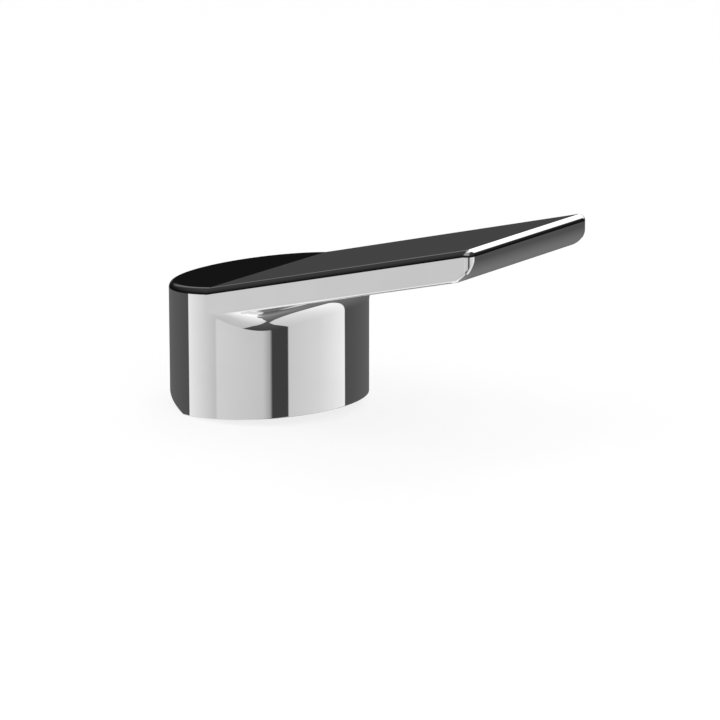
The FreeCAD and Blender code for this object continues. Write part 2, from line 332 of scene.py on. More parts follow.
    def top_rounding(self, cut: Columns, slope: float) -> tuple[Array, Array]:
        """Work out the rounding of a top plane's edge.

        It is a ball rolled inside the edge: its middle is one radius in from the outline and one
        radius under the plane, and each row turns from the plane's normal to the wall's. Beside the
        hub the lever's rows are slid along it so that a cut keeps to its own x.

        Args:
            cut: Upright cuts.
            slope: Slope of the plane along x, in radians.

        Returns:
            Points and facings of the rounding.
        """
        up = np.array((-math.sin(slope), 0.0, math.cos(slope)))
        inset = cut.outline - self.top_round * cut.away
        height = self.crease + inset[:, 0] * math.tan(slope) - self.top_round / math.cos(slope)
        facing = sweep(up, columns(cut.away[:, 0], cut.away[:, 1], 0.0), self.TOP_STEPS)
        points = columns(inset[:, 0], inset[:, 1], height) + self.top_round * facing
        nearness = np.clip(1.0 - np.abs(cut.outline[:, 0]) / self.slide_reach, 0.0, 1.0)
        slide = nearness * (slope == self.lever_slope)
        shift = slide * (cut.outline[:, 0] - points[..., 0])
        return points + shift[..., None] * np.array((1.0, 0.0, math.tan(slope))), facing

    def lay_top(self, skin: Skin, points: Array, facing: Array) -> None:
        """Lay a top plane, as a fan from the middle of the crease, and its rounding.

        Args:
            skin: Skin that takes the patches.
            points: Points of the rounding.
            facing: Facings of the rounding.
        """
        pole = repeated((0.0, 0.0, self.crease), points[0])
        skin.add(ramp(pole, points[0], self.FAN_STEPS), facing[0])
        skin.add(points, facing)

    def lever_rows(self, skin: Skin, cut: Columns, top: Array) -> None:
        """Lay the lever's side, its lower rounding, its underside and the cove down to the hub.

        The side drops straight to the lower rounding, a ball of the lower radius rolled inside the
        outline and above the underside. The underside is flat and curls up to the tip along an arc
        of the tip's radius. The cove's rows turn on the rolled ball from the lever to the wall.

        Args:
            skin: Skin that takes the patches.
            cut: Upright cuts.
            top: Last row of the top rounding.
        """
        sine, cosine = math.sin(self.lever_slope), math.cos(self.lever_slope)
        out = columns(cut.away[:, 0], cut.away[:, 1], 0.0)
        ball = self.ball(cut.turn)
        held = (np.abs(cut.turn) > self.held_turn() + NEAR)[:, None]

        bend_x = self.reach - self.tip_round
        bend_z = self.under(bend_x) + self.tip_round / cosine
        inset = cut.outline - self.lower_round * cut.away
        inner = self.tip_round - self.lower_round
        curl = np.arcsin(np.clip((inset[:, 0] - bend_x) / inner, sine, 1.0))
        curled = curl > self.lever_slope + NEAR
        flat_z = self.under(inset[:, 0]) + self.lower_round / cosine
        edge_z = np.where(curled, bend_z - inner * np.cos(curl), flat_z)
        edge = np.where(held, ball["edge"], columns(inset[:, 0], inset[:, 1], edge_z))
        down = np.where(held, -ball["touch"], columns(np.sin(curl), 0.0, -np.cos(curl)))

        foot = columns(cut.outline[:, 0], cut.outline[:, 1], edge[:, 2])
        skin.add(ramp(top, foot, self.SIDE_STEPS), out)
        facing = sweep(out, down, self.LOWER_STEPS)
        lower = skin.add(edge + self.lower_round * facing, facing)[-1]

        landing = ball["middle"] + self.cove_radius * ball["touch"]
        level = np.full((len(curl), 1), self.lever_slope)
        angle = ramp(curl[:, None], level, self.CURL_STEPS)[..., 0]
        reach_x = np.where(curled, bend_x + self.tip_round * np.sin(angle), lower[:, 0])
        run = np.maximum(lower[:, 0] - landing[:, 0], WELD)
        reach_y = lower[:, 1] + (lower[:, 0] - reach_x) / run * (landing[:, 1] - lower[:, 1])
        reach_z = np.where(curled, bend_z - self.tip_round * np.cos(angle), lower[:, 2])
        below = columns(np.sin(angle), 0.0, -np.cos(angle))
        tip = skin.add(columns(reach_x, reach_y, reach_z), below)[-1]
        skin.add(ramp(tip, landing, self.UNDER_STEPS), np.array((sine, 0.0, -cosine)))

        inward = columns(-np.cos(cut.turn), -np.sin(cut.turn), 0.0)
        facing = sweep(ball["touch"], inward, self.COVE_STEPS)
        skin.add(ball["middle"] + self.cove_radius * facing, -facing)

    def hub_rows(self, skin: Skin, turn: Array, start: Array, relief: bool) -> None:
        """Lay the hub's wall from a height down to the rim, and the hollow up to its ceiling.

        Every row is a circle about the hub's axis, cut off at the rim, the step or the ceiling.

        Args:
            skin: Skin that takes the patches.
            turn: Angles of the cuts about the hub's axis.
            start: Heights at which the wall starts.
            relief: Whether these cuts are in the part of the rim that turns up at the back.
        """
        out = columns(np.cos(turn), np.sin(turn), 0.0)
        tilt = -self.relief_slope if relief else self.rim_slope
        rim_facing = np.array((math.sin(tilt), 0.0, -math.cos(tilt)))

        def ring(radius: float, height: Any) -> Array:
            """Return the cuts' points at a radius and a height."""
            return columns(radius * out[:, 0], radius * out[:, 1], height)

        eased = self.hub_radius - self.rim_ease
        eased_z = self.rim_height(eased * out[:, 0])
        middle = ring(eased, eased_z + self.rim_ease)
        wall = ring(self.hub_radius, middle[:, 2])
        skin.add(ramp(ring(self.hub_radius, start), wall, self.WALL_STEPS), out)
        facing = sweep(out, DOWN, self.EASE_STEPS)
        skin.add(middle + self.rim_ease * facing, facing)

        skirt = self.hub_radius - self.skirt_wall
        upper = self.hub_radius - self.upper_wall
        lip = ring(skirt, self.rim_height(skirt * out[:, 0]))
        skin.add(ramp(ring(eased, eased_z), lip, self.LIP_STEPS), rim_facing)
        skin.add(ramp(lip, ring(skirt, self.step), self.HOLLOW_STEPS), -out, Coat.INNER)
        skin.add(ramp(ring(skirt, self.step), ring(upper, self.step), 1), DOWN, Coat.INNER)

        above = np.array((-math.sin(self.back_slope), 0.0, math.cos(self.back_slope)))
        bend = upper - self.ceiling_round
        drop = self.ceiling_round / math.cos(self.back_slope)
        middle = ring(bend, self.ceiling(bend * out[:, 0]) - drop)
        side = ramp(ring(upper, self.step), ring(upper, middle[:, 2]), self.HOLLOW_STEPS)
        skin.add(side, -out, Coat.INNER)
        facing = sweep(out, above, self.WALL_STEPS)
        points = skin.add(middle + self.ceiling_round * facing, -facing, Coat.INNER)
        pole = repeated((0.0, 0.0, self.ceiling(0.0)), middle)
        skin.add(ramp(points[-1], pole, self.HOLLOW_STEPS), -above, Coat.INNER)

    def build(self) -> bpy.types.Object:
        """Lay the front and back halves of the casting and weld them.

        Returns:
            The casting's object.
        """
        skin = Skin()
        cut = self.front_columns()
        points, facing = self.top_rounding(cut, self.lever_slope)
        self.lay_top(skin, points, facing)
        self.lever_rows(skin, cut, points[-1])
        self.hub_rows(skin, cut.turn, self.ball(cut.turn)["middle"][:, 2], False)

        kink = math.acos(-self.relief_start / self.hub_radius)
        spans = [np.linspace(QUARTER, kink, self.BACK_CUTS),
                 np.linspace(kink, FULL_TURN - kink, self.RELIEF_CUTS),
                 np.linspace(FULL_TURN - kink, 3 * QUARTER, self.BACK_CUTS)]
        turn = np.concatenate([spans[0], spans[1][1:-1], spans[2]])
        around = columns(np.cos(turn), np.sin(turn))
        back = Columns(self.hub_radius * around, around, turn)
        seam = points
        points, facing = self.top_rounding(back, self.back_slope)
        points[:, 0], points[:, -1] = seam[:, -1], seam[:, 0]
        self.lay_top(skin, points, facing)
        level = float(self.ball(np.array([QUARTER]))["edge"][0, 2])
        foot = columns(back.outline[:, 0], back.outline[:, 1], level)
        out = columns(around[:, 0], around[:, 1], 0.0)
        skin.add(ramp(points[-1], foot, self.SIDE_STEPS), out)
        for number, span in enumerate(spans):
            self.hub_rows(skin, span, np.full(len(span), level), number == 1)
        return skin.build("handle_shell")

    def dress(self) -> None:
        """Build the casting, plated outside and bare in its hollow."""
        carry(self.build(), [CHROME, CASTING], "handle_body")


class Along(Enum):
    """The direction in which a bar of metal runs under the ceiling."""

    LEVER = 0
    WIDTH = 1


@dataclass
class StemBoss:
    """The inside of the casting: boss, square stem socket, the screw's web and three thin ribs."""

    boss_radius: float = 8.5
    boss_top: float = 16.9
    edge_ease: float = 0.5
    socket_half: float = 4.0
    socket_depth: float = 11.0
    socket_chamfer: float = 0.5
    screw_rise: float = 5.5
    screw_radius: float = 2.5
    hole_end: float = -7.5
    web_half: float = 5.0
    web_low: float = 0.9
    web_top: float = 14.6
    web_end: float = -6.0
    rib_half: float = 1.0
    rib_low: float = 7.17
    cross_rib_top: float = 16.5
    front_rib_top: float = 18.2
    wall_bite: float = 20.5

    SCREW_SIDE = 2
    SQUARE_CUTS = 17
    HOLE_CUTS = 65
    CORNER_CUTS = 6
    FLAT_STEPS = 2
    EASE_STEPS = 5
    WALL_STEPS = 4
    SOCKET_STEPS = 16
    FACE_STEPS = 6
    HOLE_STEPS = 3
    BAR_STEPS = 8

    def square(self, half: float, side: int, height: float) -> Array:
        """Space points along one side of a square about the axis.

        Args:
            half: Half of the square's width.
            side: Number of the side, counted from +X towards +Y.
            height: Level of the square.

        Returns:
            The points in order.
        """
        share = np.linspace(-half, half, self.SQUARE_CUTS)
        turn = side * QUARTER
        return columns(half * math.cos(turn) - share * math.sin(turn),
                       half * math.sin(turn) + share * math.cos(turn), height)

    def socket_side(self, skin: Skin, side: int) -> None:
        """Lay a quarter of the boss: wall, mouth, the socket's chamfer, its side and its floor.

        The boss is a circle about the axis whose points lie on the same rays as the square's.

        Args:
            skin: Skin that takes the patches.
            side: Number of the quarter, counted from +X towards +Y.
        """
        turn = side * QUARTER
        inward = np.array((-math.cos(turn), -math.sin(turn), 0.0))
        lead = self.square(self.socket_half + self.socket_chamfer, side, 0.0)
        mouth = self.square(self.socket_half, side, self.socket_chamfer)
        floor = self.square(self.socket_half, side, self.socket_depth)
        out = unit(lead * (1.0, 1.0, 0.0))

        eased = self.boss_radius - self.edge_ease
        lift = self.edge_ease * DOWN
        top = self.boss_radius * out + np.array((0.0, 0.0, self.boss_top))
        skin.add(ramp(top * (0.0, 0.0, 1.0), top, self.FLAT_STEPS), -DOWN)
        facing = sweep(out, DOWN, self.EASE_STEPS)
        skin.add(ramp(top, self.boss_radius * out - lift, self.WALL_STEPS), out)
        skin.add(eased * out - lift + self.edge_ease * facing, facing)
        skin.add(ramp(eased * out, lead, self.FLAT_STEPS), DOWN)
        skin.add(ramp(lead, mouth, 1), unit(inward + DOWN))
        middle = repeated((0.0, 0.0, self.socket_depth), floor)
        skin.add(ramp(floor, middle, self.WALL_STEPS), DOWN)
        if side != self.SCREW_SIDE:
            skin.add(ramp(mouth, floor, self.SOCKET_STEPS), inward)

    def screw_wall(self, skin: Skin) -> None:
        """Lay the socket's side at -X from the rim of the screw hole out to its four edges.

        Each point of the rectangle's edge is joined to the point of the hole on the same ray. The
        hole runs on into the metal.

        Args:
            skin: Skin that takes the patches.
        """
        edge = np.linspace(0.0, CORNERS, self.HOLE_CUTS)
        corner = range(CORNERS + 1)
        half, low, high = self.socket_half, self.socket_chamfer, self.socket_depth
        y = np.interp(edge, corner, (half, -half, -half, half, half))
        z = np.interp(edge, corner, (low, low, high, high, low))
        forward = np.array((1.0, 0.0, 0.0))
        out = unit(columns(0.0, y, z - self.screw_rise))
        hole = self.screw_radius * out + np.array((-half, 0.0, self.screw_rise))
        skin.add(ramp(hole, columns(-half, y, z), self.FACE_STEPS), forward)
        deep = hole + (self.hole_end + half) * forward
        skin.add(ramp(hole, deep, self.HOLE_STEPS), -out)
        middle = repeated((self.hole_end, 0.0, self.screw_rise), deep)
        skin.add(ramp(deep, middle, self.FLAT_STEPS), forward)

    def bar(self, skin: Skin, along: Along, ends: tuple[float, float], half: float,
            heights: tuple[float, float]) -> None:
        """Lay a closed bar: a rectangle with rounded corners carried straight along X or Y.

        Args:
            skin: Skin that takes the patches.
            along: Direction of the bar.
            ends: Where the bar starts and ends.
            half: Half of its thickness.
            heights: Its lowest and highest level.
        """
        count = CORNERS * self.CORNER_CUTS + 1
        quarter = np.linspace(0.0, QUARTER, self.CORNER_CUTS)
        corner = np.repeat(np.arange(CORNERS + 1) % CORNERS, self.CORNER_CUTS)[:count]
        angle = np.tile(quarter, CORNERS + 1)[:count] + corner * QUARTER
        towards = corner * QUARTER + QUARTER / 2
        middle = (heights[0] + heights[1]) / 2
        side = np.sign(np.cos(towards)) * (half - self.edge_ease)
        level = np.sign(np.sin(towards)) * (middle - heights[0] - self.edge_ease) + middle
        across = side + self.edge_ease * np.cos(angle)
        up = level + self.edge_ease * np.sin(angle)
        order = [0, 1, 2] if along is Along.LEVER else [1, 0, 2]
        rows = [columns(end, across, up)[:, order] for end in ends]
        facing = columns(0.0, np.cos(angle), np.sin(angle))[:, order]
        skin.add(ramp(rows[0], rows[1], self.BAR_STEPS), facing)
        for row, end, way in zip(rows, ends, (-1.0, 1.0)):
            core = repeated(np.array((end, 0.0, middle))[order], row)
            skin.add(ramp(row, core, self.FLAT_STEPS), np.array((way, 0.0, 0.0))[order])

    def build(self) -> bpy.types.Object:
        """Lay the boss, the web and the ribs.

        Returns:
            One object with all of them.
        """
        skin = Skin()
        for side in range(CORNERS):
            self.socket_side(skin, side)
        self.screw_wall(skin)
        bite, thin = self.wall_bite, self.rib_half
        self.bar(skin, Along.LEVER, (-bite, self.web_end), self.web_half, (self.web_low, self.web_top))
        self.bar(skin, Along.WIDTH, (-bite, bite), thin, (self.rib_low, self.cross_rib_top))
        self.bar(skin, Along.LEVER, (0.0, bite), thin, (self.rib_low, self.front_rib_top))
        return skin.build("handle_inside")

    def dress(self) -> None:
        """Build the inside as bare casting."""
        carry(self.build(), [CASTING])


@dataclass
class GrubScrew:
    """The set screw: a cut thread, a cup point and a six-sided key socket."""

    tip: float = -4.3
    end: float = -12.3
    rise: float = 5.5
    radius: float = 2.5
    pitch: float = 0.8
    thread_depth: float = 0.42
    thread_flat: float = 0.125
    point_radius: float = 1.9
    cup_radius: float = 1.2
    cup_depth: float = 0.5
    key_width: float = 2.5
    key_depth: float = 3.0
    key_cone: float = 0.3

    TURN_CUTS = 73
    THREAD_ROWS = 141
    HARD_EDGE = 24.0

    def build(self) -> bpy.types.Object:
        """Spin the screw about its own axis, with a radius that depends on place and angle.

        The thread's radius falls and rises once in each pitch, and its phase advances by one pitch
        in each turn. Two cones hold it down at the ends. The key socket's radius is that of a
        hexagon: half its width over the cosine of the angle from the nearest flat's middle.

        Returns:
            The screw's object.
        """
        turn = np.linspace(0.0, FULL_TURN, self.TURN_CUTS)
        x = np.linspace(self.tip, self.end, self.THREAD_ROWS)[:, None]
        phase = np.abs(2.0 * np.mod(x / self.pitch - turn / FULL_TURN, 1.0) - 1.0)
        groove = np.clip((1.0 + 2.0 * self.thread_flat) * phase - self.thread_flat, 0.0, 1.0)
        thread = self.radius - self.thread_depth * groove
        cones = np.minimum(self.point_radius + self.tip - x, self.point_radius + x - self.end)
        shank = np.minimum(thread, cones)
        flat = np.mod(turn + math.pi / 6, math.pi / 3) - math.pi / 6
        key = self.key_width / 2 / np.cos(flat)
        floor = self.end + self.key_depth
        none = np.zeros_like(turn)
        head = [self.end, floor, floor + self.key_cone]
        places = np.concatenate([[self.tip - self.cup_depth, self.tip], x[:, 0], head])
        radii = np.concatenate([[none, none + self.cup_radius], shank, [key, key, none]])
        skin = Skin()
        skin.add(columns(places[:, None], radii * np.cos(turn), radii * np.sin(turn) + self.rise),
                 columns(0.0, np.cos(turn), np.sin(turn)))
        return skin.build("set_screw", self.HARD_EDGE)

    def dress(self) -> None:
        """Build the screw in steel."""
        carry(self.build(), [STEEL], "grub_screw")


@dataclass
class CoverPlug:
    """The pressed-in plug that closes the screw hole, its face following the hub's round wall."""

    face_radius: float = 23.4
    radius: float = 3.5
    rise: float = 5.5
    inner_end: float = -19.0
    ease: float = 0.35

    TURN_CUTS = 65
    FACE_ROWS = 9
    EASE_STEPS = 6
    STUB_STEPS = 4
    END_STEPS = 2

    def build(self) -> bpy.types.Object:
        """Lay the face, its eased edge, the stub and the stub's end.

        The face is a disc in y and z laid on a cylinder about the hub's axis: x is minus the root
        of the face radius squared less y squared. Its edge turns on an arc into the stub.

        Returns:
            The plug's object.
        """
        turn = np.linspace(0.0, FULL_TURN, self.TURN_CUTS)
        spread = np.linspace(0.0, self.radius - self.ease, self.FACE_ROWS)[:, None]
        y, z = spread * np.cos(turn), spread * np.sin(turn) + self.rise
        x = -np.sqrt(self.face_radius ** 2 - y ** 2)
        skin = Skin()
        out = columns(x, y, 0.0) / self.face_radius
        face = skin.add(columns(x, y, z), out)
        beside = columns(0.0, np.cos(turn), np.sin(turn))
        facing = sweep(out[-1], beside, self.EASE_STEPS)
        edge = skin.add(face[-1] - self.ease * out[-1] + self.ease * facing, facing)[-1]
        stub = columns(self.inner_end, edge[:, 1], edge[:, 2])
        skin.add(ramp(edge, stub, self.STUB_STEPS), beside)
        middle = repeated((self.inner_end, 0.0, self.rise), stub)
        skin.add(ramp(stub, middle, self.END_STEPS), np.array((1.0, 0.0, 0.0)))
        return skin.build("plug_cap")

    def dress(self) -> None:
        """Build the plug in plastic."""
        carry(self.build(), [PLASTIC], "cover_plug")


class Channel:
    """A shader socket that takes part in Python sums, with the reflected forms as well."""

    def __init__(self, graph: "Graph", socket: bpy.types.NodeSocket) -> None:
        """Keep the socket and the graph it belongs to."""
        self.graph = graph
        self.socket = socket

    def sum_of(self, operation: str, first: Any, second: Any = 0.0) -> "Channel":
        """Add a Math node for two values or channels and return its result."""
        return self.graph.add("ShaderNodeMath", {"operation": operation}, {0: first, 1: second})[0]

    def __add__(self, other: Any) -> "Channel":
        """Add."""
        return self.sum_of("ADD", self, other)

    def __radd__(self, other: Any) -> "Channel":
        """Add, from the other side."""
        return self.sum_of("ADD", other, self)

    def __sub__(self, other: Any) -> "Channel":
        """Subtract."""
        return self.sum_of("SUBTRACT", self, other)

    def __rsub__(self, other: Any) -> "Channel":
        """Subtract from another value."""
        return self.sum_of("SUBTRACT", other, self)

    def __mul__(self, other: Any) -> "Channel":
        """Multiply."""
        return self.sum_of("MULTIPLY", self, other)

    def __rmul__(self, other: Any) -> "Channel":
        """Multiply, from the other side."""
        return self.sum_of("MULTIPLY", other, self)

    def arc_tangent(self, other: Any) -> "Channel":
        """Return the angle, in radians, of a point with this height and another width."""
        return self.sum_of("ARCTAN2", self, other)

    def arc_sine(self) -> "Channel":
        """Return the angle, in radians, with this sine."""
        return self.sum_of("ARCSINE", self)

    def smaller(self, other: Any) -> "Channel":
        """Return the smaller of two values."""
        return self.sum_of("MINIMUM", self, other)

    def larger(self, other: Any) -> "Channel":
        """Return the larger of two values."""
        return self.sum_of("MAXIMUM", self, other)

    def eased(self, low: float, high: float) -> "Channel":
        """Return 0 below low, 1 above high and a smooth step between them."""
        inputs = {"Value": self, "From Min": low, "From Max": high}
        return self.graph.add("ShaderNodeMapRange", {"interpolation_type": "SMOOTHSTEP"}, inputs)[0]

    def straight(self, low: float, high: float, start: float, end: float) -> "Channel":
        """Return a straight ramp from start at low to end at high, held flat outside."""
        inputs = {"Value": self, "From Min": low, "From Max": high, "To Min": start, "To Max": end}
        return self.graph.add("ShaderNodeMapRange", {"interpolation_type": "LINEAR"}, inputs)[0]


class Graph:
    """A node tree that grows through one method."""

    RELIEF_DEPTH = 0.00002

    def __init__(self, tree: bpy.types.NodeTree) -> None:
        """Empty the tree and keep it."""
        tree.nodes.clear()
        self.tree = tree

    def add(self, kind: str, settings: dict[str, Any] | None = None,
            inputs: dict[Any, Any] | None = None) -> list[Channel]:
        """Add a node.

        Args:
            kind: Node type.
            settings: Properties of the node, set first.
            inputs: Values or channels for the sockets, by name or number.

        Returns:
            The node's outputs in order.
        """
        node = self.tree.nodes.new(kind)
        for name, value in (settings or {}).items():
            setattr(node, name, value)
        for key, value in (inputs or {}).items():
            if isinstance(value, Channel):
                self.tree.links.new(value.socket, node.inputs[key])
            else:
                node.inputs[key].default_value = value
        return [Channel(self, socket) for socket in node.outputs]

    def place(self) -> Channel:
        """Return the object coordinates."""
        return self.add("ShaderNodeTexCoord")[3]

    def noise(self, scale: float, layers: float, place: Channel) -> Channel:
        """Return a cloudy pattern between 0 and 1, of a scale per metre and some finer layers."""
        inputs = {"Vector": place, "Scale": scale, "Detail": layers}
        return self.add("ShaderNodeTexNoise", None, inputs)[0]

    def tint(self, share: Channel, first: Colour, second: Colour) -> Channel:
        """Return a blend of two colours, by the share of the second."""
        return self.add("ShaderNodeMix", {"data_type": "RGBA"}, {0: share, 6: first, 7: second})[2]

    def relief(self, strength: float, height: Channel) -> Channel:
        """Return a normal that a pattern raises by a hair's breadth."""
        inputs = {"Strength": strength, "Distance": self.RELIEF_DEPTH, "Height": height}
        return self.add("ShaderNodeBump", None, inputs)[0]

    def surface(self, inputs: dict[Any, Any]) -> Channel:
        """Return a surface shader with the given inputs."""
        return self.add("ShaderNodeBsdfPrincipled", None, inputs)[0]

    def output(self, shader: Channel, kind: str = "ShaderNodeOutputMaterial") -> None:
        """Lead a shader to the tree's output."""
        self.add(kind, None, {"Surface": shader})


def new_material(name: str) -> tuple[bpy.types.Material, Graph]:
    """Make a node material.

    Args:
        name: Name of the material.

    Returns:
        The material and its emptied graph.
    """
    material = bpy.data.materials.new(name)
    material.use_nodes = True
    return material, Graph(material.node_tree)


@dataclass(frozen=True)
class MetalFinish:
    """A bare or plated metal: two tones, a band of roughness and fine relief."""

    name: str
    light: Colour
    dark: Colour
    rough: tuple[float, float]
    grain: float
    relief: float

    COARSE = 0.18
    BAND = (0.3, 0.7)
    CLOUD_SHARE = 0.6
    FINE_SHARE = 0.4
    CLOUD_LAYERS = 3.0
    FINE_LAYERS = 4.0

    def material(self) -> bpy.types.Material:
        """Make the material: tone, roughness and relief follow clouds of one grain.

        Returns:
            The new material.
        """
        material, graph = new_material(self.name)
        place = graph.place()
        cloud = graph.noise(self.grain * self.COARSE, self.CLOUD_LAYERS, place)
        fine = graph.noise(self.grain, self.FINE_LAYERS, place)
        wear = cloud * self.CLOUD_SHARE + fine * self.FINE_SHARE
        graph.output(graph.surface({
            "Base Color": graph.tint(cloud.eased(*self.BAND), self.dark, self.light),
            "Metallic": 1.0,
            "Roughness": wear.straight(*self.BAND, *self.rough),
            "Normal": graph.relief(self.relief, fine),
        }))
        return material


@dataclass(frozen=True)
class PlasticFinish:
    """A moulded plastic: two close tones, a band of roughness and a fine moulded grain."""

    name: str
    light: Colour
    dark: Colour
    rough: tuple[float, float]
    cloud: float
    grain: float
    relief: float

    BAND = (0.3, 0.7)
    LAYERS = 2.0

    def material(self) -> bpy.types.Material:
        """Make the material: a cloud sets tone and gloss, and a finer one the grain.

        Returns:
            The new material.
        """
        material, graph = new_material(self.name)
        place = graph.place()
        cloud = graph.noise(self.cloud, self.LAYERS, place)
        fine = graph.noise(self.grain, self.LAYERS, place)
        graph.output(graph.surface({
            "Base Color": graph.tint(cloud, self.dark, self.light),
            "Roughness": cloud.straight(*self.BAND, *self.rough),
            "Normal": graph.relief(self.relief, fine),
        }))
        return material


@dataclass(frozen=True)
class FloorFinish:
    """The pale paper under the handle, with a share of even white that keeps its shadow faint."""

    name: str = "pale_paper"
    dark: Colour = (0.88, 0.88, 0.88, 1.0)
    light: Colour = (0.9, 0.9, 0.9, 1.0)
    white: Colour = (1.0, 1.0, 1.0, 1.0)
    cloud: float = 6.0
    layers: float = 2.0
    rough: float = 0.9
    even_share: float = 0.82

    def material(self) -> bpy.types.Material:
        """Make the material: nearly white, with the faintest cloud in its tone.

        Returns:
            The new material.
        """
        material, graph = new_material(self.name)
        tone = graph.tint(graph.noise(self.cloud, self.layers, graph.place()), self.dark, self.light)
        paper = graph.surface({"Base Color": tone, "Roughness": self.rough, "Specular IOR Level": 0.0})
        even = graph.add("ShaderNodeEmission", None, {"Color": self.white, "Strength": 1.0})[0]
        seen = graph.add("ShaderNodeLightPath")[0] * self.even_share
        graph.output(graph.add("ShaderNodeMixShader", None, {0: seen, 1: paper, 2: even})[0])
        return material


CHROME = MetalFinish("bright_chrome", (0.87, 0.87, 0.87, 1.0), (0.85, 0.85, 0.85, 1.0),
                     (0.015, 0.04), 700.0, 0.004)
CASTING = MetalFinish("inside_casting", (0.62, 0.62, 0.63, 1.0), (0.5, 0.5, 0.51, 1.0),
                      (0.32, 0.5), 2500.0, 0.35)
STEEL = MetalFinish("bare_steel", (0.58, 0.58, 0.59, 1.0), (0.46, 0.46, 0.47, 1.0),
                    (0.24, 0.4), 3000.0, 0.25)
PLASTIC = PlasticFinish("grey_plastic", (0.63, 0.64, 0.66, 1.0), (0.59, 0.6, 0.62, 1.0),
                        (0.24, 0.34), 450.0, 6000.0, 0.15)


@dataclass(frozen=True)
class Span:
    """A stretch of degrees over which a value goes from start to end and is held flat outside."""

    low: float
    high: float
    start: float = 0.0
    end: float = 1.0

    def along(self, angle: Channel) -> Channel:
        """Return the value on a straight ramp."""
        return angle.straight(self.low, self.high, self.start, self.end)

    def past(self, angle: Channel) -> Channel:
        """Return a smooth step, 0 before the stretch and 1 after it."""
        return angle.eased(self.low, self.high)

    def before(self, angle: Channel) -> Channel:
        """Return a smooth step, 1 before the stretch and 0 after it."""
        return 1.0 - self.past(angle)


@dataclass(frozen=True)
class Panel:
    """A part of the surroundings, in the bearing and the height of a direction."""

    turn: Channel
    rise: Channel

    def aside(self) -> Channel:
        """Return the bearing to either side."""
        return self.turn.larger(0.0 - self.turn)


@dataclass(frozen=True)
class LeftTable(Panel):
    """The pale table on the left, whose edge slants away under the camera.

    Its upper end stands upright beside the camera. A thin dark gap runs through its far end.
    """

    near_edge: Span = Span(-36.0, -16.5, -21.6, -31.5)
    near_edge_lower: Span = Span(-60.0, -36.0, 25.5, 0.0)
    foot_edge: Span = Span(-76.0, -62.0, 0.0, 15.5)
    foot_edge_lower: Span = Span(-82.0, -76.0, -78.0, -12.0)
    far_edge: Span = Span(-45.0, -22.0, -178.0, -105.0)
    far_edge_lower: Span = Span(-83.0, -75.0, -118.0, -178.0)
    slanted_blur: Span = Span(-2.0, 2.0)
    far_blur: Span = Span(-0.6, 0.6)
    upper_end: Span = Span(-20.0, -17.5)
    upright_fade: Span = Span(-7.5, 3.5)
    upright_edge: Span = Span(1.2, 5.7)
    fade: float = 0.35

    gap_start: Span = Span(-119.0, -116.0)
    gap_bend: float = -128.0
    gap_curve: float = 0.0065
    gap_level: float = -66.3
    gap_lower_side: Span = Span(-5.0, -4.0)
    gap_upper_side: Span = Span(-0.6, 0.4)

    level: Span = Span(-45.0, -25.0, 0.56, 0.505)
    level_lower: Span = Span(-78.0, -45.0, 0.33, 0.0)
    far_level: Span = Span(-106.0, -64.0, 0.3, 0.01)
    far_share: float = 0.6
    near_start: Span = Span(-64.0, -61.0)
    near_level: Span = Span(-62.0, -5.0, 0.11, 0.02)

    def outline(self, upper: Channel) -> Channel:
        """Find where the table is.

        Args:
            upper: 1 in the table's upper end and 0 under it.

        Returns:
            1 on the table and 0 outside.
        """
        turn, rise = self.turn, self.rise
        near = self.near_edge.along(rise) + self.near_edge_lower.along(rise)
        foot = self.foot_edge_lower.along(rise) + self.foot_edge.along(rise)
        slanted = self.slanted_blur.before(turn - near.smaller(foot))
        upright = (1.0 - self.upright_fade.past(turn) * self.fade) * self.upright_edge.before(turn)
        far = self.far_edge.along(rise).larger(self.far_edge_lower.along(rise))
        return self.far_blur.past(turn - far) * (upper * upright + (1.0 - upper) * slanted)

    def gap(self) -> Channel:
        """Find where the gap is, a band that bends upwards with the square of the bearing.

        Returns:
            1 in the gap and 0 outside.
        """
        beyond = (self.gap_bend - self.turn).larger(0.0)
        over = self.rise - (beyond * beyond * self.gap_curve + self.gap_level)
        band = self.gap_lower_side.past(over) * self.gap_upper_side.before(over)
        return band * self.gap_start.before(self.turn)

    def light(self) -> Channel:
        """Light the table.

        Returns:
            The light that comes from there.
        """
        turn, rise = self.turn, self.rise
        upper = self.upper_end.past(rise)
        far = self.far_level.along(turn) * (self.far_share + upper * (1.0 - self.far_share))
        near = upper * self.near_start.past(turn) * self.near_level.along(turn)
        level = self.level.along(rise) + self.level_lower.along(rise) + far + near
        return self.outline(upper) * (1.0 - self.gap()) * level


@dataclass(frozen=True)
class RightBox(Panel):
    """The soft box low on the right, with a slanted inner edge and a bowed lower edge."""

    inner_edge: Span = Span(-54.0, -16.0, 7.6, 22.8)
    inner_blur: Span = Span(-1.0, 1.0)
    outer_edge: Span = Span(-48.0, -14.0, 108.5, 98.2)
    outer_blur: Span = Span(-0.6, 0.6)
    bow_middle: float = 57.0
    bow_curve: float = 0.0048
    bow_level: float = -63.0
    bow_blur: Span = Span(-1.5, 1.5)
    inner_level: Span = Span(23.0, 60.0, 0.56, 0.65)
    outer_level: Span = Span(60.0, 97.0, 0.0, 0.19)
    lower_level: Span = Span(-55.0, -15.0, 0.09, 0.0)

    def light(self) -> Channel:
        """Light the box.

        Returns:
            The light that comes from there.
        """
        turn, rise = self.turn, self.rise
        inner = self.inner_blur.past(turn - self.inner_edge.along(rise))
        outer = self.outer_blur.before(turn - self.outer_edge.along(rise))
        aside = turn - self.bow_middle
        lower = self.bow_blur.past(rise - (aside * aside * self.bow_curve + self.bow_level))
        level = self.inner_level.along(turn) + self.outer_level.along(turn)
        return inner * outer * lower * (level + self.lower_level.along(rise))


